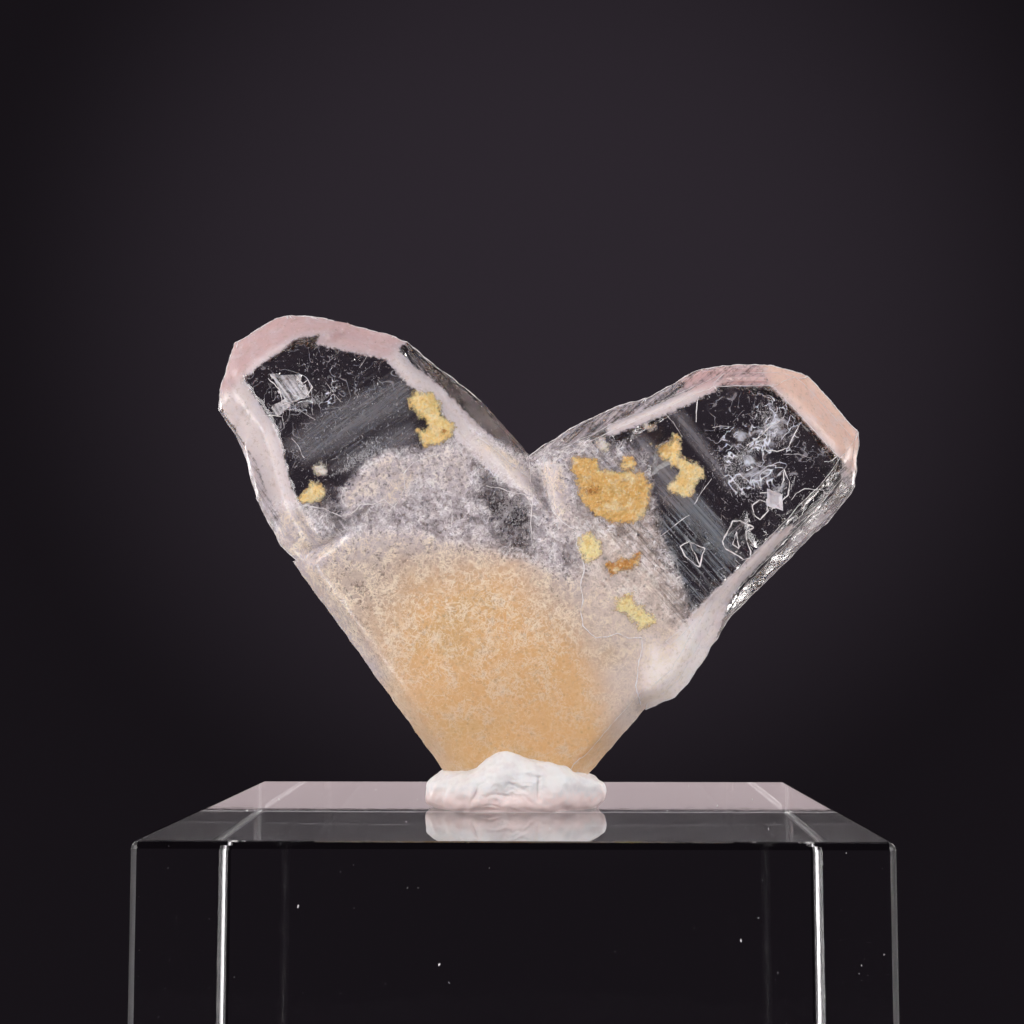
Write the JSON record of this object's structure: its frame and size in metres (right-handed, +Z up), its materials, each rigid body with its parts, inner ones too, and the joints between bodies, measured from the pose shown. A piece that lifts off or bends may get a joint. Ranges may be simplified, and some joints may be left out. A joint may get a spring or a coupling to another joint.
{
  "type": "twinned quartz crystal specimen on a block",
  "caption": "Flat V-shaped twin of clear quartz grown from a milky root, held upright by a dab of putty on a clear square display block.",
  "frame": {"origin": "middle of the block's underside", "axes": "+Z up, +X to the right as seen from the front, +Y away from the front; the twin stands in the plane y = 0 and its wider face looks along -Y"},
  "size_m": [0.04, 0.0382, 0.0559],
  "materials": {
    "quartz": "clear quartz with a milky root and yellow-brown iron oxide films, vitreous lustre",
    "putty": "matt white mounting putty",
    "clear_acrylic": "polished clear acrylic"
  },
  "bodies": {
    "root": {"quartz_twin": "quartz", "mounting_putty": "putty", "display_block": "clear_acrylic"}
  },
  "joints": []
}
